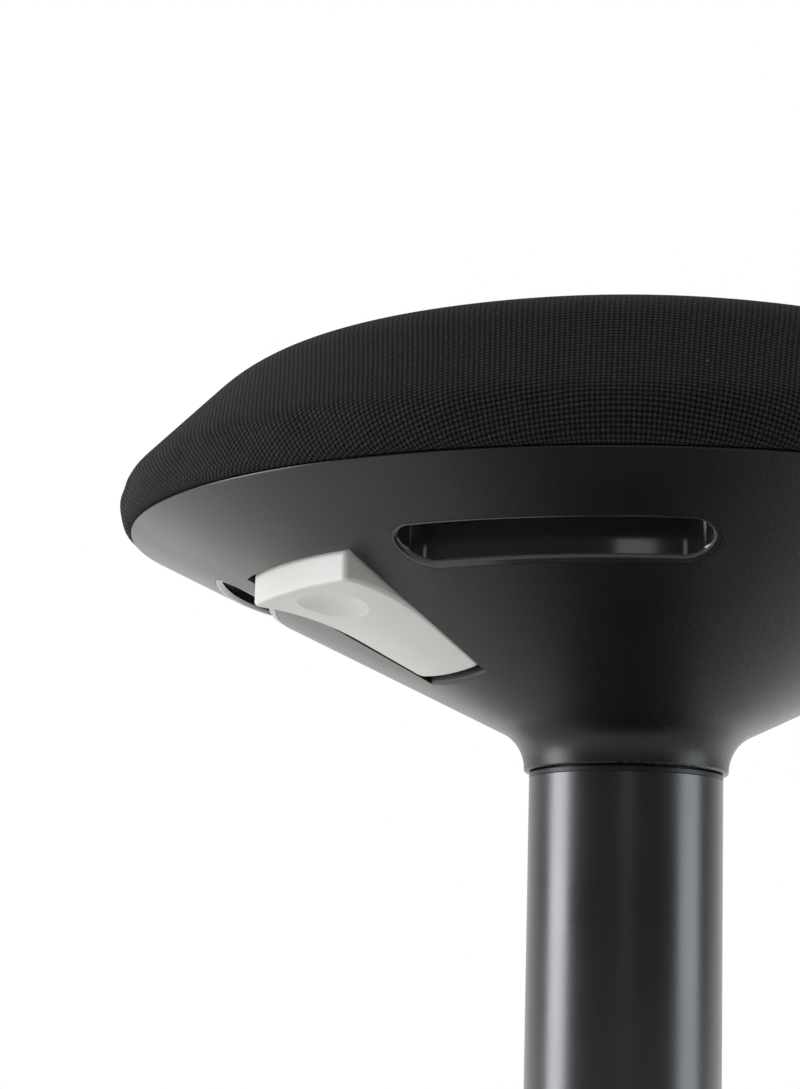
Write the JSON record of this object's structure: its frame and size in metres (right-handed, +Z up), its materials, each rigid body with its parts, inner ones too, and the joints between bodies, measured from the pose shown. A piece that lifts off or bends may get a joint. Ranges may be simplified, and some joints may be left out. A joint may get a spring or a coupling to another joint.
{
  "type": "stool",
  "caption": "Sit-stand stool with a round woven cushion, cone-shaped shell with finger slots, white lift lever, telescopic column and curved weighted base.",
  "frame": {"origin": "centre of the foot's flat underside, on the floor", "axes": "+Z up the column; -Y towards the front finger slot; the lever points midway between -X and -Y"},
  "size_m": [0.3838, 0.3838, 0.5175],
  "materials": {
    "woven_fabric": "coarse black weave",
    "seat_foam": "cut foam",
    "plywood": "plain birch plywood",
    "shell_plastic": "fine-grained black",
    "cup_plastic": "glossy black",
    "lever_plastic": "satin warm white",
    "column_paint": "black powder coat",
    "guide_plastic": "plain black",
    "cover_plastic": "fine-grained black",
    "foot_rubber": "dull black",
    "plate_iron": "painted casting",
    "plain_steel": "zinc plated",
    "polished_steel": "polished",
    "cylinder_paint": "black enamel",
    "piston_metal": "machined"
  },
  "bodies": {
    "base": {"rocker_foot": "foot_rubber", "foot_screws": "plain_steel", "ballast_plate": "plate_iron", "base_cover": "cover_plastic", "cover_screws": "plain_steel", "column_socket": "plain_steel", "socket_bolts": "plain_steel", "outer_tube": "column_paint", "tube_ring": "guide_plastic", "stand_tube": "plain_steel", "stand_bush": "guide_plastic", "bearing_lower_race": "plain_steel"},
    "rod": {"bearing_balls": "polished_steel", "bearing_cage": "guide_plastic", "bearing_upper_race": "plain_steel", "piston_rod": "polished_steel", "rod_washer": "plain_steel", "rod_clip": "plain_steel", "piston": "piston_metal", "piston_seal": "foot_rubber", "bump_stop": "foot_rubber"},
    "seat": {"gas_cylinder": "cylinder_paint", "cylinder_end_guide": "guide_plastic", "valve_body": "piston_metal", "inner_tube": "column_paint", "taper_hub": "plain_steel", "hub_plate": "plain_steel", "hub_screws": "plain_steel", "t_nuts": "plain_steel", "lever_pin": "plain_steel", "pin_clips": "plain_steel", "seat_board": "plywood", "foam_pad": "seat_foam", "fabric_cover": "woven_fabric", "under_shell": "shell_plastic", "grip_cup_front": "cup_plastic", "grip_cup_left": "cup_plastic", "grip_cup_back": "cup_plastic", "grip_cup_right": "cup_plastic", "shell_catches": "shell_plastic"},
    "lever": {"lever_arm": "plain_steel", "lever_paddle": "lever_plastic", "paddle_screws": "plain_steel"},
    "button": {"release_button": "polished_steel"}
  },
  "joints": [
    {"name": "swivel", "type": "hinge", "parent": "base", "child": "rod", "pos_m": [0, 0, 0.0386], "axis": [0, 0, 1], "continuous": true},
    {"name": "lift", "type": "slide", "parent": "rod", "child": "seat", "axis": [0, 0, 1], "range_m": [0, 0.2]},
    {"name": "lever", "type": "hinge", "parent": "seat", "child": "lever", "pos_m": [-0.02828, -0.02828, 0.414], "axis": [-0.7071, 0.7071, 0], "range_deg": [0, 5], "stiffness_Nm_per_rad": 3, "springref_deg": -5.73},
    {"name": "button", "type": "slide", "parent": "seat", "child": "button", "axis": [0, 0, -1], "range_m": [0, 0.0035], "stiffness_N_per_m": 1500}
  ],
  "couplings": [
    {"joint": "button", "follows": "lever", "m_per_rad": 0.04}
  ]
}
